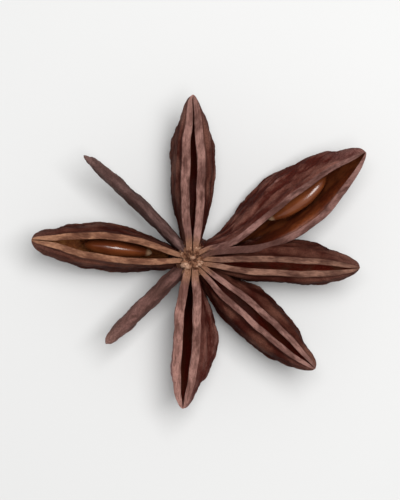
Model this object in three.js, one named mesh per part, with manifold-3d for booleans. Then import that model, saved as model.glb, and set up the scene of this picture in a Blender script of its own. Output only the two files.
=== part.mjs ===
// A dried star anise fruit: eight boat-shaped carpels in a ring round a short column, lying with their
// split seams up, and the two seeds that still sit in the widest open carpels.
// Units are millimetres, +Z is up and +Y is north. The origin is the middle of the stalk scar underneath.
import * as THREE from "three";
import { mergeVertices } from "three/addons/utils/BufferGeometryUtils.js";
import Module from "manifold-3d";

const wasm = await Module();
wasm.setup();

// Driving dimensions.
const WALL = 0.65; // the wall at a carpel's side
const KEEL_WALL = 0.9; // the wall at its keel
const FOLD_DEPTH = 0.13; // the folds of the dried skin
const SCAR_RADIUS = 1.7; // where the stalk broke off
const LIP_EDGE = 0.45; // how far the slot between the lips runs straight down
const CUT_ABOVE = 1; // how far a cavity's cutter stands out of the seam
const KEEL_FULLNESS = 1; // how round the section is at the keel, as a share of the half width
const SHOULDER_FULLNESS = 1.25; // how far the section bulges above that
const SHOULDER_DROP = 0.38; // where it does, as a share of the depth
const BOW_START = 0.1; // where a carpel's bow to one side starts, as a share of its length
const BOW_LEAN = 0.75; // below 1 the bow is widest nearer to the column
const MERGE = 1e-4;

// Round a section, the lip's outer edge lies at this share of the way from the keel to the seam.
const HULL_LIP = 0.8;
const CAVITY_LIP = 2 / 3;

// Facets: rings along each body and sides round it.
const HULL = { rings: 16, sides: 20 };
const CAVITY = { rings: 12, sides: 12 };
const SEED_FACETS = { rings: 10, sides: 14 };
const COLUMN_SIDES = 48;

// The carpels, anticlockwise from the east.
// heading: degrees from +X. length: the column's axis to the beak. depth: seam to keel. belly: full width.
// seam: its height at the column. rise and sweep: how far the beak bends up and left of the heading.
// roll: degrees that the keel swings to the left. lip: how wide each lip is. gape: the widest gap between
// the lips. opens: where the gap starts and ends, as shares of the length. pinch: how much it narrows at
// its ends. aside: how far to the left the carpel bows, most near the column.
const CARPELS = [
  { name: "east", heading: -6.4, length: 15.4, depth: 7, belly: 4.4, seam: 6.9, rise: 0.1, sweep: 1,
    roll: 9, lip: 0.62, gape: 0.6, opens: [0.18, 0.9], pinch: 0.5, aside: 0 },
  { name: "north_east", heading: 32.5, length: 18.75, depth: 8, belly: 4.6, seam: 7, rise: 0.9,
    sweep: -0.25, roll: 27, lip: 0.7, gape: 2.8, opens: [0.2, 0.97], pinch: 0.9, aside: -1.8 },
  { name: "north", heading: 88.7, length: 15.2, depth: 7.1, belly: 4.3, seam: 6.95, rise: 0.3, sweep: 0.3,
    roll: 2, lip: 0.85, gape: 0.52, opens: [0.16, 0.78], pinch: 0.4, aside: 0 },
  { name: "north_west", heading: 130.5, length: 13.7, depth: 4.4, belly: 1.35, seam: 6.7, rise: -0.4,
    sweep: 1.35, roll: 1, lip: 0.4, gape: 0 },
  { name: "west", heading: 170.3, length: 14.9, depth: 7, belly: 4.6, seam: 6.85, rise: 0.2, sweep: 0.6,
    roll: -1, lip: 0.66, gape: 1.35, opens: [0.1, 0.84], pinch: 0.8, aside: 0 },
  { name: "south_west", heading: -138, length: 11, depth: 4, belly: 1.5, seam: 6.6, rise: -0.6,
    sweep: 0.35, roll: 1, lip: 0.4, gape: 0 },
  { name: "south", heading: -93.8, length: 13.7, depth: 7.1, belly: 4.1, seam: 7, rise: -0.1, sweep: -0.05,
    roll: 12, lip: 0.9, gape: 0.74, opens: [0.14, 0.93], pinch: 0.5, aside: 0 },
  { name: "south_east", heading: -41.5, length: 15.1, depth: 7.1, belly: 4.7, seam: 6.8, rise: 0.3,
    sweep: 0, roll: -3, lip: 0.62, gape: 0.62, opens: [0.16, 0.9], pinch: 0.5, aside: 0 },
];

// The lines of every carpel, from the column out to the beak, as shares of its own sizes.
// A split carpel swells in the middle, and a shut one is a blade of nearly even width.
const STATIONS = [
  { along: 0, depth: 0.74, belly: 0.2, blade: 0.6, lip: 0.5 },
  { along: 0.12, depth: 0.86, belly: 0.42, blade: 0.8, lip: 0.8 },
  { along: 0.22, depth: 0.94, belly: 0.64, blade: 0.9, lip: 0.95 },
  { along: 0.36, depth: 1, belly: 0.88, blade: 1, lip: 1 },
  { along: 0.5, depth: 0.99, belly: 1, blade: 1, lip: 1 },
  { along: 0.64, depth: 0.87, belly: 0.97, blade: 1, lip: 1 },
  { along: 0.76, depth: 0.66, belly: 0.8, blade: 0.95, lip: 0.95 },
  { along: 0.86, depth: 0.42, belly: 0.56, blade: 0.85, lip: 0.8 },
  { along: 0.94, depth: 0.23, belly: 0.34, blade: 0.7, lip: 0.6 },
  { along: 1, depth: 0.1, belly: 0.12, blade: 0.4, lip: 0.3 },
];

// The seeds lie on edge: flattened, with the pointed end towards the column.
// along: the middle, as a share of the carpel's length. down: its depth under the seam.
const SEEDS = [
  { carpel: "west", along: 0.46, down: 2.9, length: 6.3, height: 3.6, thickness: 1.75 },
  { carpel: "north_east", along: 0.59, down: 2.6, length: 6.6, height: 3.4, thickness: 1.9 },
];

// The column in profile: radius and height, from the scar up to the dimple between the seams.
const COLUMN_PROFILE = [
  [0, 0], [SCAR_RADIUS, 0], [2.1, 0.5], [2.25, 1.4], [2.1, 2.6], [1.95, 4],
  [1.85, 5.2], [1.6, 5.9], [1.25, 6.4], [0.95, 6.75], [0.6, 6.95], [0.28, 6.85], [0, 6.8],
];

// Each seam runs on into the column's top as a groove.
const GROOVE_DEPTH = 0.4;
const GROOVE_HALF_WIDTH = 11; // degrees
const GROOVED_ABOVE = 6.3;
const DIMPLE_RADIUS = 0.5;

const HUSK = new THREE.MeshStandardMaterial({ color: "#5a3a31", roughness: 0.68, metalness: 0 });
const SEED_COAT = new THREE.MeshStandardMaterial({ color: "#8a4a2a", roughness: 0.28, metalness: 0 });

const lines = new THREE.CubicInterpolant(
  STATIONS.map((station) => station.along),
  STATIONS.flatMap(({ depth, belly, blade, lip }) => [depth, belly, blade, lip]),
  4,
);

// A carpel's depth, half width, lip width and half gape at a share of its length.
function station(carpel, along) {
  const [depth, belly, blade, lip] = lines.evaluate(along);
  const [from, to] = carpel.opens ?? [0, 1];
  const share = THREE.MathUtils.clamp((along - from) / (to - from), 0, 1);
  return {
    depth: carpel.depth * depth,
    half: (carpel.belly / 2) * (carpel.gape ? belly : blade),
    lip: carpel.lip * lip,
    gap: (carpel.gape / 2) * Math.sin(Math.PI * share) ** (carpel.pinch ?? 1),
  };
}

// How far to the left a carpel bows at a share of its length.
function bow(carpel, along) {
  const share = Math.max(0, (along - BOW_START) / (1 - BOW_START));
  return (carpel.aside ?? 0) * Math.sin(Math.PI * share ** BOW_LEAN);
}

// A point of a carpel in the fruit's frame: along its length, to the left of its seam and down from it.
function inFruit(carpel, along, left, down) {
  const roll = THREE.MathUtils.degToRad(carpel.roll) * THREE.MathUtils.smoothstep(along, 0, 0.5);
  const point = new THREE.Vector3(along * carpel.length, left + bow(carpel, along), -down);
  point.applyAxisAngle(new THREE.Vector3(1, 0, 0), roll);
  point.y += carpel.sweep * along ** 2;
  point.z += carpel.seam + carpel.rise * along ** 2;
  return point.applyAxisAngle(new THREE.Vector3(0, 0, 1), THREE.MathUtils.degToRad(carpel.heading));
}

// Half of a section, from the keel up to a point near the seam, in its left and down directions.
function sectionCurve(half, depth, left, down) {
  return new THREE.CubicBezierCurve(
    new THREE.Vector2(0, depth),
    new THREE.Vector2(KEEL_FULLNESS * half, depth),
    new THREE.Vector2(SHOULDER_FULLNESS * half, SHOULDER_DROP * depth),
    new THREE.Vector2(left, down),
  );
}

// How far the dried skin stands in or out: folds that slant from the seam down to the keel.
function fold(carpel, along, up) {
  const phase = carpel.heading;
  const slanting = Math.sin(23 * along + 5 * up + phase);
  const crossing = Math.sin(14 * along - 9 * up + 2.3 * phase);
  return FOLD_DEPTH * (slanting + 0.7 * crossing) * Math.sin(Math.PI * along);
}

// A closed body with a pole at each end, whose every vertex is set by its shares along and around.
function skin({ rings, sides }, place) {
  const geometry = new THREE.SphereGeometry(1, sides, rings);
  const { position, uv } = geometry.attributes;
  for (let i = 0; i < position.count; i++) {
    const along = 1 - uv.getY(i);
    const around = along === 0 || along === 1 ? 0 : uv.getX(i) % 1;
    const { x, y, z } = place(along, around);
    position.setXYZ(i, x, y, z);
  }
  return geometry;
}

// The share of the way up from the keel, and the side that a share around a section is on.
const upTheSide = (around) => 1 - Math.abs(2 * around - 1);
const sideOf = (around) => (around < 0.5 ? -1 : 1);

// The carpel as a solid boat, its lips still joined by a flat top.
function hull(carpel) {
  return skin(HULL, (along, around) => {
    const { depth, half, lip, gap } = station(carpel, along);
    const pole = along === 0 || along === 1;
    if (pole) return inFruit(carpel, along, 0, depth / 2);
    const up = upTheSide(around);
    const side = sideOf(around);
    const curve = sectionCurve(half, depth, gap + lip, 0);
    const climb = Math.min(up / HULL_LIP, 1);
    const point = curve.getPoint(climb);
    if (up < HULL_LIP - MERGE) {
      const slope = curve.getTangent(climb);
      const push = fold(carpel, along, side * up) * Math.min(1, half);
      point.add(new THREE.Vector2(-slope.y, slope.x).multiplyScalar(push));
    } else {
      point.x *= (1 - up) / (1 - HULL_LIP);
    }
    if (up === 0) point.x = 0;
    return inFruit(carpel, along, side * point.x, point.y);
  });
}

// What is cut out of the boat: its hollow, and the slot between the lips.
function cavity(carpel) {
  const [from, to] = carpel.opens;
  return skin(CAVITY, (share, around) => {
    const along = THREE.MathUtils.lerp(from, to, share);
    const { depth, half, gap } = station(carpel, along);
    const fullness = Math.max(0, Math.sin(Math.PI * share)) ** 0.35;
    const up = upTheSide(around);
    const width = (half - WALL) * fullness;
    const curve = sectionCurve(width, (depth - KEEL_WALL) * fullness, gap, LIP_EDGE);
    const climb = Math.min(up / CAVITY_LIP, 1);
    const point = curve.getPoint(climb);
    if (up > CAVITY_LIP + MERGE) point.y = -CUT_ABOVE * fullness;
    if (up > 1 - MERGE || up === 0) point.x = 0;
    if (share === 0 || share === 1) point.set(0, LIP_EDGE);
    return inFruit(carpel, along, sideOf(around) * point.x, point.y);
  });
}

// A seed: a flattened egg, standing on edge in its carpel.
function seed({ carpel: name, along, down, length, height, thickness }) {
  const carpel = CARPELS.find((one) => one.name === name);
  return skin(SEED_FACETS, (share, around) => {
    const turn = -2 * Math.PI * around;
    const lengthways = -Math.cos(Math.PI * share);
    const girth = Math.sin(Math.PI * share) * (1 + 0.18 * lengthways);
    const middle = along + (lengthways * length) / 2 / carpel.length;
    const left = (thickness / 2) * girth * Math.sin(turn);
    return inFruit(carpel, middle, left, down + (height / 2) * girth * Math.cos(turn));
  });
}

// A closed geometry as a solid that can be cut and joined.
function solidOf(geometry) {
  const bare = geometry.clone();
  bare.deleteAttribute("normal");
  bare.deleteAttribute("uv");
  const merged = mergeVertices(bare, MERGE);
  const vertProperties = merged.attributes.position.array;
  const triVerts = new Uint32Array(merged.index.array);
  return new wasm.Manifold(new wasm.Mesh({ numProp: 3, vertProperties, triVerts }));
}

function geometryOf(solid) {
  const { vertProperties, triVerts } = solid.getMesh();
  return new THREE.BufferGeometry()
    .setAttribute("position", new THREE.BufferAttribute(vertProperties, 3))
    .setIndex(new THREE.BufferAttribute(triVerts, 1));
}

function carpelSolid(carpel) {
  const boat = solidOf(hull(carpel));
  return carpel.gape ? boat.subtract(solidOf(cavity(carpel))) : boat;
}

// How deep the grooves are in one direction from the column's axis, in radians.
function grooveDepth(around) {
  const shares = CARPELS.map(({ heading }) => {
    const off = around - THREE.MathUtils.degToRad(heading);
    const turned = Math.atan2(Math.sin(off), Math.cos(off));
    return Math.abs(turned) / THREE.MathUtils.degToRad(GROOVE_HALF_WIDTH);
  });
  return GROOVE_DEPTH * (1 - THREE.MathUtils.smoothstep(Math.min(...shares), 0, 1));
}

function columnSolid() {
  const profile = COLUMN_PROFILE.map(([radius, height]) => new THREE.Vector2(radius, height));
  const geometry = new THREE.LatheGeometry(profile, COLUMN_SIDES).rotateX(Math.PI / 2);
  const { position } = geometry.attributes;
  const point = new THREE.Vector3();
  for (let i = 0; i < position.count; i++) {
    point.fromBufferAttribute(position, i);
    const grooved = point.z > GROOVED_ABOVE && Math.hypot(point.x, point.y) > DIMPLE_RADIUS;
    if (grooved) position.setZ(i, point.z - grooveDepth(Math.atan2(point.y, point.x)));
  }
  return solidOf(geometry);
}

// The keels are worn flat where the fruit stands, so everything under the floor is taken off.
function standing(solid) {
  const size = 60;
  return solid.subtract(solidOf(new THREE.BoxGeometry(size, size, size).translate(0, 0, -size / 2)));
}

function podGeometry() {
  const joined = CARPELS.reduce((whole, carpel) => whole.add(carpelSolid(carpel)), columnSolid());
  return geometryOf(standing(joined));
}

function named(name, geometry, material) {
  const mesh = new THREE.Mesh(geometry, material);
  mesh.name = name;
  return mesh;
}

const starAnise = new THREE.Group();
starAnise.add(named("pod", podGeometry(), HUSK));
SEEDS.forEach((one) => starAnise.add(named(`seed_${one.carpel}`, seed(one), SEED_COAT)));

export default starAnise;
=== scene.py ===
from math import atan2, pi, radians, remainder, sin
from random import Random

import bmesh
import bpy
import numpy as np
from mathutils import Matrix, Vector


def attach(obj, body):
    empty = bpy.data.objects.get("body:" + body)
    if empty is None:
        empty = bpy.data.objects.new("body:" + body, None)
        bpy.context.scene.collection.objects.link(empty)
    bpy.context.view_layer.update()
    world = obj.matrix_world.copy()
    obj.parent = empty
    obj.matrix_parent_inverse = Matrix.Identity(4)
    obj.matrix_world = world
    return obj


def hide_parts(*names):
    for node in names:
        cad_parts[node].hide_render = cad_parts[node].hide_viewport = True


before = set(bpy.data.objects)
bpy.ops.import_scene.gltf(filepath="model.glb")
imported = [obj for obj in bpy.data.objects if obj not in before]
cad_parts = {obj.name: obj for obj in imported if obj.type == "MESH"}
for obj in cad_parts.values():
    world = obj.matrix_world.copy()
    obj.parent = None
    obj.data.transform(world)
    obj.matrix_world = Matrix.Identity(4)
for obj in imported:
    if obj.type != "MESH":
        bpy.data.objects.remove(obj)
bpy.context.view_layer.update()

bpy.ops.object.select_all(action="DESELECT")

# ---------------------------------------------------------------------------------------------------
# The split carpels. Each is a woody leaf folded along its midrib, the keel, with its two margins, the
# lips, meeting in a seam on top. Drying has wrinkled the skin and pulled the lips apart. Each is made from
# a flat sheet, folded into a tube, sized ring by ring, given its wall, and turned to its heading.

MM = 0.001
RINGS = 18  # bands of faces from the column to the beak
ROWS = 28  # strips of faces from one lip round the keel to the other
FOLD = radians(300)  # how far round the sheet is folded at first
ROUNDNESS = 0.95  # the section's half width, as a share of the sizes below
WALL = 0.65 * MM
THICKEST_WALL = 1.3 * MM
THINNING = ((0, 0.1, 0.68, 1), (0.3, 1, 1, 0.3))  # shares of the length, and of the wall's thickness there
SEAM_CLEARANCE = 0.02 * MM  # how far each lip stays from the seam where the carpel is shut
SWAY = 0.07  # how far the seam wanders to either side, in millimetres
SWAY_FULL = 0.3  # the share of the length by which it wanders fully
ROLL_FULL = 0.5  # the share of the length by which the keel has swung all the way
FLANK_ROWS = 4  # how many strips below the lip the flank takes to reach its full unevenness
LIP_RELIEF = 0.35  # how deep the skin's wrinkles still are where they reach the lip
BEAK_RELIEF = 0.25  # and at the very end of the beak
CREASE_WIDTH = 0.14  # a crease runs just outside each lip, this many millimetres from its edge
CREASE_DEPTH = 0.14  # and sinks this many millimetres
SHOULDER_RISE = 0.5  # how far the shoulder swells up beyond the crease, in millimetres
BEAK_START = 0.78  # where the beak begins, as a share of the length
BEAK_WEAR = 0.35  # how much of its point is rubbed pale

# heading: degrees from +X. length: the column's axis to the beak. depth: seam to keel. belly: full width.
# seam: its height at the column. rise and sweep: how far the beak bends up and left of the heading.
# roll: degrees that the keel swings to the left. lip: how wide each lip is. gape: the widest gap between
# the lips. opens: where the gap starts and ends, as shares of the length. pinch: how much it narrows at
# its ends. aside: how far to the left the carpel bows, most near the column. Sizes are in millimetres.
SPLIT_CARPELS = {
    "east": dict(heading=-6.4, length=15.4, depth=7, belly=4.4, seam=6.9, rise=0.1, sweep=1, roll=9,
                 lip=0.62, gape=0.6, opens=(0.18, 0.9), pinch=0.5, aside=0),
    "north_east": dict(heading=32.5, length=18.75, depth=8, belly=4.6, seam=7, rise=0.9, sweep=-0.25, roll=27,
                       lip=0.7, gape=2.8, opens=(0.2, 0.97), pinch=0.9, aside=-1.8),
    "north": dict(heading=88.7, length=15.2, depth=7.1, belly=4.3, seam=6.95, rise=0.3, sweep=0.3, roll=2,
                  lip=0.85, gape=0.52, opens=(0.16, 0.78), pinch=0.4, aside=0),
    "west": dict(heading=170.3, length=14.9, depth=7, belly=4.6, seam=6.85, rise=0.2, sweep=0.6, roll=-1,
                 lip=0.66, gape=1.35, opens=(0.1, 0.84), pinch=0.8, aside=0),
    "south": dict(heading=-93.8, length=13.7, depth=7.1, belly=4.1, seam=7, rise=-0.1, sweep=-0.05, roll=12,
                  lip=0.9, gape=0.74, opens=(0.14, 0.93), pinch=0.5, aside=0),
    "south_east": dict(heading=-41.5, length=15.1, depth=7.1, belly=4.7, seam=6.8, rise=0.3, sweep=0, roll=-3,
                       lip=0.62, gape=0.62, opens=(0.16, 0.9), pinch=0.5, aside=0),
}

# The lines of every carpel, from the column out to the beak, as shares of its own sizes.
ALONG = (0, 0.12, 0.22, 0.36, 0.5, 0.64, 0.76, 0.86, 0.94, 1)
DEPTHS = (0.6, 0.86, 0.94, 1, 0.99, 0.87, 0.66, 0.42, 0.23, 0.1)
BELLIES = (0.2, 0.42, 0.64, 0.88, 1, 0.97, 0.8, 0.56, 0.34, 0.12)
LIPS = (0.5, 0.8, 0.95, 1, 1, 1, 0.95, 0.8, 0.6, 0.3)
DIP = 0.7  # how far the seam sinks into the column, in millimetres
DIP_ENDS = 2  # how far out it has risen to its full height
BOW_START = 0.1  # where a bow to one side starts, as a share of the length
BOW_LEAN = 0.75  # below 1 the bow is widest nearer to the column


def smoothstep(share):
    """Eases a share in and out between 0 and 1."""
    share = min(max(share, 0), 1)
    return share * share * (3 - 2 * share)


def lip_width(carpel, along):
    """How wide each lip is at a share of the carpel's length."""
    return carpel["lip"] * MM * np.interp(along, ALONG, LIPS)


def half_gap(carpel, along):
    """Half of the gap between the lips at a share of the carpel's length."""
    start, end = carpel["opens"]
    share = min(max((along - start) / (end - start), 0), 1)
    return carpel["gape"] / 2 * MM * sin(pi * share) ** carpel["pinch"]


def folded_sheet(name):
    """A sheet folded along X into a tube of unit length, half width and depth, open along its top."""
    bpy.ops.mesh.primitive_grid_add(x_subdivisions=RINGS, y_subdivisions=ROWS, size=2, calc_uvs=True,
                                    rotation=(pi / 2, 0, 0))
    sheet = bpy.context.object
    sheet.name = name
    bpy.ops.object.transform_apply(location=True, rotation=True, scale=True)
    fold = sheet.modifiers.new("fold", "SIMPLE_DEFORM")
    fold.deform_method = "BEND"
    fold.deform_axis = "X"
    fold.angle = FOLD
    bpy.ops.object.modifier_apply(modifier=fold.name)
    radius = 2 / FOLD
    sheet.rotation_euler.x = pi / 2
    sheet.location = (0.5, 0, -1)
    sheet.scale = (0.5, 0.5 / radius, 1 / radius)
    bpy.ops.object.transform_apply(location=True, rotation=True, scale=True)
    return sheet


def pick(mesh, ring, rows=None):
    """Selects a ring of the folded sheet, or only some of its rows, in edit mode."""
    shape = bmesh.from_edit_mesh(mesh)
    for vertex in shape.verts:
        row, own_ring = divmod(vertex.index, RINGS + 1)
        vertex.select = own_ring == ring and (rows is None or row in rows)
    shape.select_flush_mode()
    bmesh.update_edit_mesh(mesh, loop_triangles=False, destructive=False)
    return shape


def spread_row(mesh, ring, row, half, flat):
    """Sets how far a row stands from the seam on both sides, and lays it level with the seam if flat."""
    shape = pick(mesh, ring, (row, ROWS - row))
    shape.verts.ensure_lookup_table()
    point = shape.verts[row * (RINGS + 1) + ring].co
    bpy.ops.transform.resize(value=(1, half / abs(point.y), 0 if flat else 1),
                             center_override=(point.x, 0, 0))


def aside(carpel, along):
    """How far to the left the carpel bows at a share of its length."""
    share = max(0, (along - BOW_START) / (1 - BOW_START))
    return carpel["aside"] * MM * sin(pi * share**BOW_LEAN)


def grow_ring(carpel, along, x, sway=0):
    """Rolls the selected ring round its seam and moves it to where it grew."""
    roll = radians(carpel["roll"]) * smoothstep(along / ROLL_FULL)
    bpy.ops.transform.rotate(value=-roll, orient_axis="X", center_override=(x, 0, 0))
    dip = DIP * (1 - smoothstep(along * carpel["length"] / DIP_ENDS))
    left = carpel["sweep"] * along**2 + sway * smoothstep(along / SWAY_FULL)
    bpy.ops.transform.translate(value=(0, left * MM, (carpel["rise"] * along**2 - dip) * MM))


def shape_rings(sheet, carpel, bellies=BELLIES):
    """Sizes the folded sheet ring by ring, parts its lips, and bends and rolls it as it grew."""
    mesh = sheet.data
    wander = Random(sheet.name)
    bpy.ops.object.mode_set(mode="EDIT")
    bpy.ops.mesh.select_mode(type="VERT")
    for ring in range(RINGS + 1):
        along = ring / RINGS
        x = along * carpel["length"] * MM
        half = ROUNDNESS * carpel["belly"] / 2 * MM * np.interp(along, ALONG, bellies)
        depth = carpel["depth"] * MM * np.interp(along, ALONG, DEPTHS)
        lip = lip_width(carpel, along)
        gap = half_gap(carpel, along)
        pick(mesh, ring)
        bpy.ops.transform.resize(value=(1, half, depth), center_override=(along, 0, 0))
        bpy.ops.transform.translate(value=(x - along, 0, 0))
        spread_row(mesh, ring, 0, gap + lip, flat=True)
        if lip:
            swell = MM * np.interp(along, ALONG, LIPS) * np.interp(along, ALONG, bellies)
            spread_row(mesh, ring, 1, gap + lip + CREASE_WIDTH * swell, flat=False)
            bpy.ops.transform.translate(value=(0, 0, -CREASE_DEPTH * swell))
            pick(mesh, ring, (2, ROWS - 2))
            bpy.ops.transform.translate(value=(0, 0, SHOULDER_RISE * swell))
        pick(mesh, ring)
        bpy.ops.transform.translate(value=(0, aside(carpel, along), 0))
        grow_ring(carpel, along, x, wander.uniform(-SWAY, SWAY))
    bpy.ops.object.mode_set(mode="OBJECT")


def close_beak(sheet):
    """Draws the last ring together to a point."""
    bpy.ops.object.mode_set(mode="EDIT")
    pick(sheet.data, RINGS)
    bpy.ops.mesh.merge(type="CENTER")
    bpy.ops.object.mode_set(mode="OBJECT")


def weigh_wall(sheet, carpel):
    """Vertex weights for the wall, which thins towards both ends, and for the flanks, clear of the lips.

    Along the margins the wall is as thick as the lip is wide, so that shut lips touch.
    """
    walls = sheet.vertex_groups.new(name="wall")
    flanks = sheet.vertex_groups.new(name="flank")
    points = sheet.data.vertices
    for vertex in points:
        row, ring = divmod(vertex.index, RINGS + 1)
        along = ring / RINGS
        thickness = WALL * np.interp(along, ALONG, LIPS) * np.interp(along, *THINNING)
        if row in (0, ROWS) and ring < RINGS:
            across = points[(ROWS - row) * (RINGS + 1) + ring].co - vertex.co
            lip = lip_width(carpel, along) - SEAM_CLEARANCE
            thickness = lip / abs(vertex.normal.dot(across.normalized()))
        walls.add([vertex.index], thickness / THICKEST_WALL, "REPLACE")
        flanks.add([vertex.index], smoothstep((min(row, ROWS - row) - 1) / FLANK_ROWS), "REPLACE")


def flatten_keel(piece, height):
    """Presses whatever hangs below a height up to it."""
    bpy.ops.object.mode_set(mode="EDIT")
    bpy.ops.mesh.select_mode(type="VERT")
    shape = bmesh.from_edit_mesh(piece.data)
    for vertex in shape.verts:
        vertex.select = vertex.co.z < height
    shape.select_flush_mode()
    bmesh.update_edit_mesh(piece.data, loop_triangles=False, destructive=False)
    if any(vertex.select for vertex in shape.verts):
        bpy.ops.transform.resize(value=(1, 1, 0), center_override=(0, 0, height))
    bpy.ops.object.mode_set(mode="OBJECT")


# Every layer of unevenness is a place in one endless cloudy pattern, told apart by its number. Two layers
# with numbers that follow each other lie this many times the layer's size apart.
PATTERN_STEP = 7
LAYER_STEP = 10  # how far apart the numbers of a piece's layers of wrinkles are
GROWN_STEP = 30 * MM  # and how far apart the colour patterns of two pieces with following numbers lie


def ruffle(piece, name, layer, number, hard=True, group=""):
    """Raises a surface by a cloudy pattern, stretched along the piece; a hard one has sharp valleys.

    The layer gives the pattern's size in millimetres, how much longer than wide it is, and its height.
    """
    size, stretch, height = layer
    pattern = bpy.data.textures.new(name, "CLOUDS")
    pattern.noise_type = "HARD_NOISE" if hard else "SOFT_NOISE"
    pattern.noise_scale = 1
    pattern.noise_depth = 1
    bpy.ops.object.empty_add(location=(0, 0, number * size * MM * PATTERN_STEP))
    guide = bpy.context.object
    guide.scale = (size * MM * stretch, size * MM, size * MM)
    bpy.context.view_layer.update()
    relief = piece.modifiers.new(name, "DISPLACE")
    relief.texture = pattern
    relief.texture_coords = "OBJECT"
    relief.texture_coords_object = guide
    relief.strength = height * MM
    relief.mid_level = 0.35 if hard else 0.5
    relief.vertex_group = group
    bpy.ops.object.select_all(action="DESELECT")
    piece.select_set(True)
    bpy.context.view_layer.objects.active = piece
    bpy.ops.object.modifier_apply(modifier=relief.name)
    bpy.data.objects.remove(guide)
    bpy.data.textures.remove(pattern)


def refine(piece, levels):
    """Rounds a piece off by subdivision."""
    smooth = piece.modifiers.new("smooth", "SUBSURF")
    smooth.levels = smooth.render_levels = levels
    bpy.ops.object.modifier_apply(modifier=smooth.name)


def give_wall(sheet):
    """Gives the folded sheet its woody wall, inwards."""
    sheet.vertex_groups.new(name="lining")
    wall = sheet.modifiers.new("wall", "SOLIDIFY")
    wall.thickness = THICKEST_WALL
    wall.offset = -1
    wall.vertex_group = "wall"
    wall.shell_vertex_group = "lining"
    wall.material_offset = 2
    wall.material_offset_rim = 1
    wall.edge_crease_outer = 0.6
    wall.edge_crease_inner = 0.8
    bpy.ops.object.modifier_apply(modifier=wall.name)
    skin = sheet.vertex_groups.new(name="skin")
    flank = sheet.vertex_groups["flank"].index
    lining = sheet.vertex_groups["lining"].index
    reach = max(vertex.co.x for vertex in sheet.data.vertices)
    for vertex in sheet.data.vertices:
        weights = {entry.group: entry.weight for entry in vertex.groups}
        if not weights.get(lining):
            relief = LIP_RELIEF + (1 - LIP_RELIEF) * weights.get(flank, 1)
            calmer = np.interp(vertex.co.x / reach, (BEAK_START, 1), (1, BEAK_RELIEF))
            skin.add([vertex.index], relief * calmer, "REPLACE")


def own_points(piece):
    """The piece's points and their normals, as arrays."""
    points = np.empty((len(piece.data.vertices), 3), np.float32)
    normals = np.empty_like(points)
    piece.data.vertices.foreach_get("co", points.ravel())
    piece.data.vertices.foreach_get("normal", normals.ravel())
    return points, normals


def store(piece, label, values, kind="FLOAT"):
    """Stores a number, or a vector, at every point of the piece, for its material to read."""
    field = "vector" if kind == "FLOAT_VECTOR" else "value"
    piece.data.attributes.new(label, kind, "POINT").data.foreach_set(field, values.ravel())


def wrinkle(piece, layers, number):
    """Wrinkles the skin in layers, and stores where each point grew and how high it was raised.

    Both are in millimetres. The number keeps the piece's patterns apart from those of the others.
    """
    points, normals = own_points(piece)
    for place, layer in enumerate(layers):
        group = "skin" if piece.vertex_groups else ""
        ruffle(piece, "wrinkles", layer, number + place * LAYER_STEP, group=group)
    raised = ((own_points(piece)[0] - points) * normals).sum(axis=1)
    points[:, 2] += number * GROWN_STEP
    store(piece, "grown", points / MM, "FLOAT_VECTOR")
    store(piece, "raised", raised / MM)


# Where a right lip is rubbed paler towards its beak, or darkened near the column with painted shade where
# a neighbour shadows it: how much, and the shares of the length where that starts and where it is in full.
RUBBED_LIPS = {"south": (0.85, (0.4, 0.65))}
# north_east's right lip gets painted shade near the column, where a neighbouring carpel shadows it.
SHADED_LIPS = {"north_east": (0.8, (0.52, 0.4))}
UNMARKED = (0, (0, 1))
LIP_REACH = 1.1  # how far past the gap the marks go, in widths of the lip


def mark_wear(piece, name, carpel):
    """Stores how pale each point is rubbed, and how dark it is painted in shade; beaks are palest at the very
    end.
    """
    points = own_points(piece)[0]
    along = points[:, 0] / points[:, 0].max()
    seam = [aside(carpel, share) + carpel["sweep"] * share**2 * MM for share in along]
    off = seam - points[:, 1]
    right_lip = (off > 0) & (off < (carpel["gape"] / 2 + carpel["lip"] * LIP_REACH) * MM)

    def marked(places):
        strength, (start, full) = places.get(name, UNMARKED)
        return strength * np.clip((along - start) / (full - start), 0, 1) * right_lip

    beak = BEAK_WEAR * np.clip((along - BEAK_START) / (1 - BEAK_START), 0, 1)
    store(piece, "beak", np.maximum(beak, marked(RUBBED_LIPS)))
    # Painted shade, stored for the lip's material to darken it.
    store(piece, "stain", marked(SHADED_LIPS))


def wire(tree, kind, settings=None, **sources):
    """Adds a node, with each input set to a value or linked to a socket, by the input's name."""
    node = tree.nodes.new(kind)
    for name, value in (settings or {}).items():
        setattr(node, name, value)
    for name, source in sources.items():
        socket = node.inputs[name.replace("_", " ")]
        if isinstance(source, bpy.types.NodeSocket):
            tree.links.new(source, socket)
        else:
            socket.default_value = source
    return node


def mix(tree, factor, first, second, blend="MIX"):
    """Mixes two colours, each a socket or a value, and returns the mixed colour's socket."""
    node = tree.nodes.new("ShaderNodeMix")
    node.data_type = "RGBA"
    node.blend_type = blend
    for socket, source in zip((node.inputs[0], node.inputs[6], node.inputs[7]), (factor, first, second)):
        if isinstance(source, bpy.types.NodeSocket):
            tree.links.new(source, socket)
        else:
            socket.default_value = source
    return node.outputs[2]


def ramp(tree, value, low, high):
    """Spreads the range from low to high over 0 to 1, smoothly, and returns the result's socket."""
    node = wire(tree, "ShaderNodeMapRange", {"interpolation_type": "SMOOTHSTEP"}, Value=value,
                From_Min=low, From_Max=high)
    return node.outputs["Result"]


def noise(tree, vector, stretch, detail=4, roughness=0.6, distortion=0):
    """A noise on the grown coordinates, its scale given along each axis, per millimetre."""
    scaled = wire(tree, "ShaderNodeVectorMath", {"operation": "MULTIPLY"})
    tree.links.new(vector, scaled.inputs[0])
    scaled.inputs[1].default_value = stretch
    made = wire(tree, "ShaderNodeTexNoise", Vector=scaled.outputs[0], Scale=1.0, Detail=detail,
                Roughness=roughness, Distortion=distortion)
    return made.outputs["Fac"]


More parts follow.
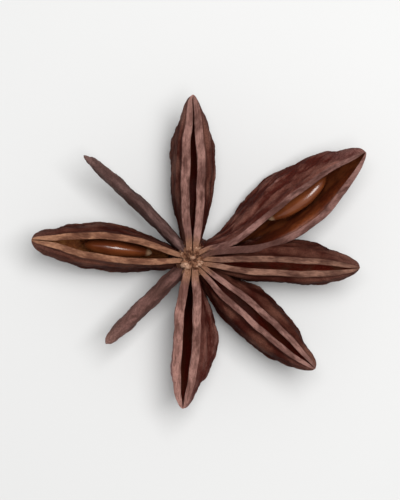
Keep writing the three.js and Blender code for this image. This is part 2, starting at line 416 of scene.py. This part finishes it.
def both(tree, first, second):
    """A mask that shows only where both masks do."""
    product = wire(tree, "ShaderNodeMath", {"operation": "MULTIPLY"})
    tree.links.new(first, product.inputs[0])
    tree.links.new(second, product.inputs[1])
    return product.outputs[0]


def new_group(name, inputs, outputs):
    """An empty shader node group with these sockets, and its input and output nodes."""
    tree = bpy.data.node_groups.new(name, "ShaderNodeTree")
    for label, kind in inputs.items():
        tree.interface.new_socket(label, in_out="INPUT", socket_type=f"NodeSocket{kind}")
    for label, kind in outputs.items():
        tree.interface.new_socket(label, in_out="OUTPUT", socket_type=f"NodeSocket{kind}")
    return tree, tree.nodes.new("NodeGroupInput").outputs, tree.nodes.new("NodeGroupOutput").inputs


def dried_skin_group():
    """Wrinkled dried skin: painted shade in its creases, ridges paler from dust and painted highlight, beak
    rubbed pale.
    """
    tree, given, result = new_group(
        "dried_skin",
        {"Grown": "Vector", "Raised": "Float", "Beak": "Float", "Dark": "Color", "Mid": "Color",
         "Light": "Color"},
        {"Color": "Color", "Height": "Float", "Roughness": "Float"},
    )
    clouds = ramp(tree, noise(tree, given["Grown"], (0.3, 0.45, 0.45), 4), 0.35, 0.68)
    streaks = ramp(tree, noise(tree, given["Grown"], (1.1, 3.2, 3.2), 6, 0.65, 0.4), 0.45, 0.68)
    grain = noise(tree, given["Grown"], (9, 11, 11), 6, 0.72)
    ridges = ramp(tree, given["Raised"], 0.02, 0.17)
    colour = mix(tree, clouds, given["Dark"], given["Mid"])
    # Ridges lift to the middle and light tones: partly dust, partly a painted highlight where the skin stands
    # up.
    colour = mix(tree, ridges, colour, given["Mid"])
    colour = mix(tree, both(tree, ridges, streaks), colour, given["Light"])
    rubbed = both(tree, given["Beak"], ramp(tree, grain, 0.25, 0.6))
    colour = mix(tree, rubbed, colour, given["Light"])
    # Painted shade: wherever the skin sinks, in the creases, it is darkened.
    colour = mix(tree, ramp(tree, given["Raised"], 0.01, -0.1), colour, given["Dark"])
    speck = mix(tree, ramp(tree, grain, 0.3, 0.72), (0.55, 0.52, 0.5, 1), (1.35, 1.35, 1.35, 1))
    tree.links.new(mix(tree, 1.0, colour, speck, "MULTIPLY"), result["Color"])
    tree.links.new(grain, result["Height"])
    dull = wire(tree, "ShaderNodeMapRange", Value=grain, To_Min=0.5, To_Max=0.85)
    tree.links.new(dull.outputs["Result"], result["Roughness"])
    return tree


DRIED_SKIN = dried_skin_group()


def cut_wood_group():
    """Bare wood of the wall where it split: fibres along the lip, with pores and darker blotches.

    Fineness is how much finer the pattern is lengthways than the long fibres of a lip. Core is the wood's
    colour close to the column's axis.
    """
    tree, given, result = new_group(
        "cut_wood",
        {"Grown": "Vector", "Raised": "Float", "Beak": "Float", "Stain": "Float", "Fineness": "Float",
         "Dark": "Color", "Mid": "Color", "Light": "Color", "Core": "Color"},
        {"Color": "Color", "Height": "Float", "Roughness": "Float"},
    )
    stretch = wire(tree, "ShaderNodeCombineXYZ", X=given["Fineness"], Y=1.0, Z=1.0)
    along = wire(tree, "ShaderNodeVectorMath", {"operation": "MULTIPLY"})
    tree.links.new(given["Grown"], along.inputs[0])
    tree.links.new(stretch.outputs[0], along.inputs[1])
    fibres = noise(tree, along.outputs[0], (0.6, 5, 5), 5, 0.7, 0.6)
    threads = noise(tree, along.outputs[0], (2.2, 17, 17), 4, 0.7, 0.3)
    blotches = ramp(tree, noise(tree, given["Grown"], (0.5, 0.9, 0.9), 4), 0.4, 0.66)
    pores = ramp(tree, noise(tree, along.outputs[0], (3, 12, 12), 2), 0.36, 0.29)
    colour = mix(tree, ramp(tree, fibres, 0.34, 0.68), given["Dark"], given["Mid"])
    colour = mix(tree, blotches, colour, given["Light"])
    outwards = wire(tree, "ShaderNodeSeparateXYZ", Vector=given["Grown"]).outputs["X"]
    colour = mix(tree, both(tree, ramp(tree, outwards, 2.5, 1.2), ramp(tree, fibres, 0.2, 0.5)), colour,
                 given["Core"])
    # Painted shade darkens the wood where it sinks; where it stands up it is lighter, partly worn and partly
    # a painted highlight.
    colour = mix(tree, ramp(tree, given["Raised"], 0, -0.1), colour, given["Dark"])
    colour = mix(tree, ramp(tree, given["Raised"], 0.02, 0.12), colour, given["Light"])
    colour = mix(tree, both(tree, given["Beak"], ramp(tree, fibres, 0.3, 0.6)), colour, given["Light"])
    # Painted shade: a lip is darkened where a neighbouring carpel shadows it.
    colour = mix(tree, given["Stain"], colour, given["Dark"])
    shade = mix(tree, ramp(tree, threads, 0.3, 0.7), (0.66, 0.62, 0.6, 1), (1.28, 1.28, 1.28, 1))
    colour = mix(tree, 1.0, colour, shade, "MULTIPLY")
    tree.links.new(mix(tree, pores, colour, given["Dark"]), result["Color"])
    height = wire(tree, "ShaderNodeMath", {"operation": "ADD"})
    tree.links.new(fibres, height.inputs[0])
    tree.links.new(threads, height.inputs[1])
    tree.links.new(height.outputs[0], result["Height"])
    dull = wire(tree, "ShaderNodeMapRange", Value=fibres, To_Min=0.75, To_Max=0.4)
    tree.links.new(dull.outputs["Result"], result["Roughness"])
    return tree


CUT_WOOD = cut_wood_group()


def husk_material(name, pattern, tones, bump, gloss=0.2, roughness=None, fineness=None, core=None):
    """A husk finish: a pattern with its own dark, middle and light tone, over its own grain and gloss.

    Without a roughness of its own it is as rough as its pattern says.
    """
    material = bpy.data.materials.new(name)
    material.use_nodes = True
    tree = material.node_tree
    shader = tree.nodes["Principled BSDF"]
    group = tree.nodes.new("ShaderNodeGroup")
    group.node_tree = pattern
    for label, tone in zip(("Dark", "Mid", "Light"), tones):
        group.inputs[label].default_value = (*tone, 1)
    if fineness:
        group.inputs["Fineness"].default_value = fineness
        group.inputs["Core"].default_value = (*(core or tones[1]), 1)
    for label, output in (("Grown", "Vector"), ("Raised", "Fac"), ("Beak", "Fac"), ("Stain", "Fac")):
        if label in group.inputs:
            stored = wire(tree, "ShaderNodeAttribute", {"attribute_name": label.lower()})
            tree.links.new(stored.outputs[output], group.inputs[label])
    tree.links.new(group.outputs["Color"], shader.inputs["Base Color"])
    relief = wire(tree, "ShaderNodeBump", Height=group.outputs["Height"], Strength=bump, Distance=0.1 * MM)
    tree.links.new(relief.outputs["Normal"], shader.inputs["Normal"])
    if roughness:
        shader.inputs["Roughness"].default_value = roughness
    else:
        tree.links.new(group.outputs["Roughness"], shader.inputs["Roughness"])
    shader.inputs["Specular IOR Level"].default_value = gloss
    return material


SKIN_TONES = ((0.036, 0.006, 0.0035), (0.12, 0.046, 0.031), (0.25, 0.13, 0.105))
LIP_TONES = ((0.072, 0.025, 0.017), (0.155, 0.066, 0.053), (0.3, 0.155, 0.128))
LINING_TONES = ((0.14, 0.035, 0.012), (0.3, 0.1, 0.03), (0.45, 0.19, 0.065))
# The lining in a narrow slit, in deep red tones that paint the shade inside it.
SHADED_SLIT_TONES = ((0.2, 0.022, 0.012), (0.32, 0.05, 0.028), (0.24, 0.075, 0.042))
CORE_TONE = (0.25, 0.12, 0.07)  # the wood that the carpels share with the column

# How some carpels differ from the rest: red, green and blue shares of their skin, lips or lining. Lip shares
# are their own colour; paler skins are partly a greyer colour and partly painted light on their flanks, and
# darker linings are painted shade inside the carpels.
TINTS_AND_PAINTED_LIGHT = {
    "east": dict(lip=(0.82, 0.8, 0.66)),
    "north_east": dict(skin=(1.8, 1.9, 2.1), lip=(0.9, 0.88, 0.9), lining=(0.4, 0.24, 0.2)),
    "north": dict(skin=(1.2, 1.3, 1.4), lining=(0.4, 0.25, 0.2)),
    "west": dict(lip=(1.3, 1.25, 0.87)),
    "south": dict(skin=(1.8, 2, 2.3), lip=(1.15, 1.15, 1.15), lining=(0.42, 0.3, 0.3)),
    "south_east": dict(lip=(0.95, 0.95, 0.95), lining=(0.5, 0.35, 0.3)),
}


def tinted_with_painted_light(tones, name, part):
    """The tones of one part of a carpel, with its tint: own colour on lips, partly painted light on skins,
    painted shade on linings.
    """
    tint = TINTS_AND_PAINTED_LIGHT.get(name, {}).get(part, (1, 1, 1))
    return [[tone * share for tone, share in zip(colour, tint)] for colour in tones]


def set_in_ring(piece, carpel):
    """Turns a piece that was made along X to its carpel's heading, with the seam at its height."""
    piece.rotation_euler.z = radians(carpel["heading"])
    piece.location.z = carpel["seam"] * MM
    bpy.ops.object.transform_apply(location=True, rotation=True, scale=True)


def finish_husk(piece):
    """The finished piece stands for the husk."""
    bpy.ops.object.shade_smooth()
    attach(piece, "root")
    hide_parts("pod")


# Layers of unevenness: the size in millimetres, how much longer than wide it is, and the height.
SPLIT_WARP = (3.5, 1.2, 0.7)
SKIN_WRINKLES = ((1.6, 2.2, 0.32), (0.8, 4.5, 0.2), (0.6, 1.8, 0.12), (0.22, 1.4, 0.05))
KEEL_CLEARANCE = 0.15  # how far above the floor the keel is pressed flat before it is wrinkled
WIDE_GAPE = 1  # past this many millimetres the pale lining shows; narrower slits are lined in deep red tones of painted shade

for number, (name, carpel) in enumerate(SPLIT_CARPELS.items()):
    husk = folded_sheet(f"carpel_{name}")
    # Narrow slits are lined in the deep red tones of painted shade.
    lining_tones, gloss = (LINING_TONES, 0.3) if carpel["gape"] > WIDE_GAPE else (SHADED_SLIT_TONES, 0.08)
    # Some tints lighten skins, partly as painted light, and some darken linings as painted shade.
    skin = husk_material(f"skin_{name}", DRIED_SKIN, tinted_with_painted_light(SKIN_TONES, name, "skin"), 0.8, gloss=0.04)
    lip = husk_material(f"lip_{name}", CUT_WOOD, tinted_with_painted_light(LIP_TONES, name, "lip"), 0.8, fineness=1,
                        core=CORE_TONE)
    lining = husk_material(f"lining_{name}", CUT_WOOD, tinted_with_painted_light(lining_tones, name, "lining"), 0.2, gloss=gloss,
                           roughness=0.45, fineness=1)
    for material in (skin, lip, lining):
        husk.data.materials.append(material)
    shape_rings(husk, carpel)
    weigh_wall(husk, carpel)
    close_beak(husk)
    ruffle(husk, "warp", SPLIT_WARP, number, hard=False, group="flank")
    flatten_keel(husk, (KEEL_CLEARANCE - carpel["seam"]) * MM)
    give_wall(husk)
    refine(husk, 3)
    mark_wear(husk, name, carpel)
    wrinkle(husk, SKIN_WRINKLES, number)
    flatten_keel(husk, -carpel["seam"] * MM)
    set_in_ring(husk, carpel)
    finish_husk(husk)

# ---------------------------------------------------------------------------------------------------
# The shut carpels. Two of the ring set no seed: they stayed thin and narrow and never split, so each is
# a solid blade of husk, folded from a sheet like the others, with its margins grown together.

SHUT_CARPELS = {
    "north_west": dict(heading=130.5, length=13.7, depth=4.4, belly=1.3, seam=6.7, rise=-0.4, sweep=1.35,
                       roll=1, lip=0, gape=0, opens=(0, 1), pinch=1, aside=0),
    "south_west": dict(heading=-138, length=11, depth=4, belly=1.5, seam=6.6, rise=-0.6, sweep=0.35,
                       roll=1, lip=0, gape=0, opens=(0, 1), pinch=1, aside=0),
}

BLADE_BELLIES = (0.6, 0.8, 0.9, 1, 1, 1, 0.95, 0.85, 0.7, 0.45)
SHUT_WARP = (3, 1.5, 0.3)
SHUT_WRINKLES = ((1.2, 2.2, 0.18), (0.5, 1.8, 0.1))
SHUT_WARP_NUMBER = 40
SHUT_WRINKLES_NUMBER = 6

SHUT_TONES = {
    "north_west": ((0.07, 0.032, 0.027), (0.165, 0.09, 0.08), (0.32, 0.19, 0.165)),
    "south_west": ((0.085, 0.036, 0.028), (0.23, 0.11, 0.095), (0.42, 0.24, 0.2)),
}

for number, (name, carpel) in enumerate(SHUT_CARPELS.items()):
    husk = folded_sheet(f"carpel_{name}")
    husk.data.materials.append(husk_material(f"blade_{name}", DRIED_SKIN, SHUT_TONES[name], 0.8))
    shape_rings(husk, carpel, BLADE_BELLIES)
    close_beak(husk)
    bpy.ops.object.mode_set(mode="EDIT")
    bpy.ops.mesh.select_all(action="SELECT")
    bpy.ops.mesh.remove_doubles(threshold=0.01 * MM)
    bpy.ops.mesh.select_all(action="DESELECT")
    bpy.ops.mesh.select_non_manifold()
    bpy.ops.mesh.edge_face_add()
    bpy.ops.object.mode_set(mode="OBJECT")
    ruffle(husk, "warp", SHUT_WARP, SHUT_WARP_NUMBER + number, hard=False)
    refine(husk, 3)
    mark_wear(husk, name, carpel)
    wrinkle(husk, SHUT_WRINKLES, SHUT_WRINKLES_NUMBER + number)
    set_in_ring(husk, carpel)
    finish_husk(husk)

# ---------------------------------------------------------------------------------------------------
# The column. The carpels grew together round this short woody axis. It still shows as a lumpy button
# between their seams, and underneath as the round scar of torn wood where the stalk broke off.

# Sizes are in millimetres. The profile gives the radius and the height, from the scar up.
COLUMN_SIDES = 64
COLUMN_PROFILE = ((2.1, 0.5), (2.25, 1.4), (2.1, 2.6), (1.95, 4), (1.85, 5.2), (1.6, 5.9), (1.25, 6.4),
                  (0.95, 6.75), (0.6, 6.95), (0.28, 6.85))
BUTTON_HEIGHT = 5  # from this height up it is lumpy
BARE_HEIGHT = 5.8  # from here up it is bare wood
GROOVE_HEIGHT = 6  # and from here up each carpel's seam runs on into it as a groove
GROOVE_DEPTH = 0.4
GROOVE_HALF_WIDTH = radians(6)
GROOVE_END = 0.5  # how far from the axis the grooves stop
BUTTON_LUMPS = ((0.9, 1, 0.45), (0.45, 1, 0.26), (0.18, 1, 0.09))
BUTTON_LUMPS_NUMBER = 9
BASE_RELIEF = 0.45  # how strong the button's lumps still are lower down and on the scar

# The scar, and its rings from the rim inwards: how wide each is, and how much deeper than the last it lies.
SCAR_RADIUS = 1.7
SCAR_DEPTH = 0.45  # no ring is deeper than this
SCAR_RINGS = ((0.22, 0), (0.14, 0.3), (0.3, 0.06), (0.3, -0.12), (0.3, 0.04), (0.25, 0.12))

COLUMN_TONES = ((0.1, 0.034, 0.015), (0.24, 0.11, 0.06), (0.44, 0.26, 0.175))
SCAR_TONES = ((0.07, 0.03, 0.018), (0.2, 0.105, 0.06), (0.36, 0.22, 0.14))

bpy.ops.mesh.primitive_circle_add(vertices=COLUMN_SIDES, radius=SCAR_RADIUS * MM, fill_type="NGON")
column = bpy.context.object
column.name = "column"
column.data.materials.append(husk_material("column_skin", DRIED_SKIN, SKIN_TONES, 0.8, gloss=0.04))
column.data.materials.append(husk_material("column_wood", CUT_WOOD, COLUMN_TONES, 0.8, fineness=5))
column.data.materials.append(husk_material("scar_wood", CUT_WOOD, SCAR_TONES, 0.9, fineness=5))
bpy.ops.object.mode_set(mode="EDIT")
bpy.ops.mesh.select_all(action="SELECT")
radius, height = SCAR_RADIUS, 0
for wider, higher in COLUMN_PROFILE:
    bpy.ops.mesh.extrude_region_move(TRANSFORM_OT_translate={"value": (0, 0, (higher - height) * MM)})
    bpy.ops.transform.resize(value=(wider / radius, wider / radius, 1), center_override=(0, 0, 0))
    radius, height = wider, higher
bpy.ops.mesh.merge(type="CENTER")
bpy.ops.mesh.select_all(action="SELECT")
bpy.ops.mesh.normals_make_consistent(inside=False)
shape = bmesh.from_edit_mesh(column.data)
headings = [radians(carpel["heading"]) for carpel in (*SPLIT_CARPELS.values(), *SHUT_CARPELS.values())]
for vertex in shape.verts:
    around = atan2(vertex.co.y, vertex.co.x)
    off_seam = min(abs(remainder(around - heading, 2 * pi)) for heading in headings)
    on_top = vertex.co.z > GROOVE_HEIGHT * MM and vertex.co.xy.length > GROOVE_END * MM
    vertex.select = on_top and off_seam < GROOVE_HALF_WIDTH
shape.select_flush_mode()
bpy.ops.transform.translate(value=(0, 0, -GROOVE_DEPTH * MM))
bpy.ops.mesh.select_mode(type="FACE")
shape = bmesh.from_edit_mesh(column.data)
for face in shape.faces:
    face.select = len(face.verts) == COLUMN_SIDES
for width, deeper in SCAR_RINGS:
    bpy.ops.mesh.inset(thickness=width * MM, depth=-deeper * MM)
bpy.ops.mesh.merge(type="CENTER")
bpy.ops.object.mode_set(mode="OBJECT")
inside_rim = SCAR_RADIUS - SCAR_RINGS[0][0]
for face in column.data.polygons:
    on_scar = face.center.z < SCAR_DEPTH * MM and face.center.xy.length < inside_rim * MM
    face.material_index = 2 if on_scar else 1 if face.center.z > BARE_HEIGHT * MM else 0
relief = column.vertex_groups.new(name="skin")
for vertex in column.data.vertices:
    relief.add([vertex.index], 1 if vertex.co.z > BUTTON_HEIGHT * MM else BASE_RELIEF, "REPLACE")
refine(column, 2)
wrinkle(column, BUTTON_LUMPS, BUTTON_LUMPS_NUMBER)
flatten_keel(column, 0)
finish_husk(column)

# ---------------------------------------------------------------------------------------------------
# The seeds. Two are left, lying on edge in the widest carpels: flattened eggs with a hard polished coat,
# narrower towards the column, where a dull pale scar shows how each was fixed.

# along: the middle, as a share of the carpel's length. down: its depth under the seam, in millimetres.
SEEDS = {
    "west": dict(along=0.46, down=2.9, length=6.3, height=3.6, thickness=1.75),
    "north_east": dict(along=0.59, down=2.6, length=6.6, height=3.4, thickness=1.9),
}
SEED_SEGMENTS = 24
SEED_RINGS = 16
SEED_TAPER = 0.18  # how much thinner than the middle the inner end is, and how much thicker the outer end
SEED_SCAR = 0.9  # how long the pale scar is, in millimetres
SEED_SWELL = (2.2, 1, 0.16)
SEED_SWELL_NUMBER = 90
SEED_STEP = 20 * MM  # how far apart the two seeds' colour patterns lie


def seed_coat_material():
    """A polished chestnut coat, darker in soft clouds, over fine pits that break up the highlight."""
    material = bpy.data.materials.new("seed_coat")
    material.use_nodes = True
    tree = material.node_tree
    shader = tree.nodes["Principled BSDF"]
    grown = wire(tree, "ShaderNodeAttribute", {"attribute_name": "grown"}).outputs["Vector"]
    clouds = ramp(tree, noise(tree, grown, (0.3, 0.8, 0.5), 4), 0.36, 0.66)
    colour = mix(tree, clouds, (0.1, 0.022, 0.007, 1), (0.17, 0.045, 0.013, 1))
    scar = ramp(tree, wire(tree, "ShaderNodeAttribute", {"attribute_name": "scar"}).outputs["Fac"], 0.3, 0.7)
    tree.links.new(mix(tree, scar, colour, (0.4, 0.25, 0.15, 1)), shader.inputs["Base Color"])
    pits = noise(tree, grown, (5, 5, 5), 3)
    relief = wire(tree, "ShaderNodeBump", Height=pits, Strength=0.12, Distance=0.1 * MM)
    tree.links.new(relief.outputs["Normal"], shader.inputs["Normal"])
    shader.inputs["Roughness"].default_value = 0.26
    shader.inputs["Coat Weight"].default_value = 0.3
    shader.inputs["Coat Roughness"].default_value = 0.12
    return material


SEED_COAT = seed_coat_material()

for number, (name, kernel) in enumerate(SEEDS.items()):
    carpel = SPLIT_CARPELS[name]
    middle = kernel["along"] * carpel["length"] * MM
    bpy.ops.mesh.primitive_uv_sphere_add(segments=SEED_SEGMENTS, ring_count=SEED_RINGS, radius=1,
                                         rotation=(0, -pi / 2, 0))
    seed = bpy.context.object
    seed.name = f"kernel_{name}"
    seed.data.materials.append(SEED_COAT)
    bpy.ops.object.transform_apply(location=True, rotation=True, scale=True)
    bpy.ops.object.mode_set(mode="EDIT")
    bpy.ops.mesh.select_mode(type="VERT")
    shape = bmesh.from_edit_mesh(seed.data)
    rings = {}
    for vertex in shape.verts:
        rings.setdefault(round(vertex.co.x, 4), []).append(vertex.index)
    for lengthways, members in rings.items():
        shape = bmesh.from_edit_mesh(seed.data)
        for vertex in shape.verts:
            vertex.select = vertex.index in members
        shape.select_flush_mode()
        girth = (1 + SEED_TAPER * lengthways) / 2 * MM
        x = middle + lengthways * kernel["length"] / 2 * MM
        along = x / carpel["length"] / MM
        bpy.ops.transform.resize(value=(1, kernel["thickness"] * girth, kernel["height"] * girth),
                                 center_override=(0, 0, 0))
        bpy.ops.transform.translate(value=(x - lengthways, aside(carpel, along), -kernel["down"] * MM))
        grow_ring(carpel, along, x)
    bpy.ops.object.mode_set(mode="OBJECT")
    points, _ = own_points(seed)
    near = 1 - np.clip((points[:, 0] - points[:, 0].min()) / (SEED_SCAR * MM), 0, 1)
    points[:, 1] += number * SEED_STEP
    store(seed, "grown", points / MM, "FLOAT_VECTOR")
    store(seed, "scar", near)
    refine(seed, 2)
    ruffle(seed, "swell", SEED_SWELL, SEED_SWELL_NUMBER + number, hard=False)
    set_in_ring(seed, carpel)
    bpy.ops.object.shade_smooth()
    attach(seed, "root")
    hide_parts(f"seed_{name}")

# ---------------------------------------------------------------------------------------------------
# The floor, lights and camera. The light is white and soft from all round, with one broad lamp at the
# upper right. The camera looks straight down.

bpy.ops.mesh.primitive_plane_add(size=0.6)
floor = bpy.context.object
floor.name = "floor"
paint = bpy.data.materials.new("floor_paint")
paint.use_nodes = True
paint.node_tree.nodes["Principled BSDF"].inputs["Base Color"].default_value = (0.62, 0.62, 0.615, 1)
floor.data.materials.append(paint)

scene = bpy.context.scene
scene.world = bpy.data.worlds.new("studio")
scene.world.use_nodes = True
scene.world.node_tree.nodes["Background"].inputs["Color"].default_value = (1, 1, 1, 1)
scene.world.node_tree.nodes["Background"].inputs["Strength"].default_value = 0.45
scene.view_settings.view_transform = "Standard"

bpy.ops.object.light_add(type="AREA", location=(0.05, 0.04, 0.3))
key = bpy.context.object
key.data.energy = 0.92
key.data.size = 0.16
key.rotation_euler = (Vector((0, 0, 0)) - key.location).to_track_quat("-Z", "Y").to_euler()

bpy.ops.object.camera_add(location=(0.0007, 0.0009, 0.42), rotation=(0, 0, 0))
camera = bpy.context.object
camera.data.lens = 330
camera.data.sensor_width = 36
camera.data.clip_start = 0.01
scene.camera = camera
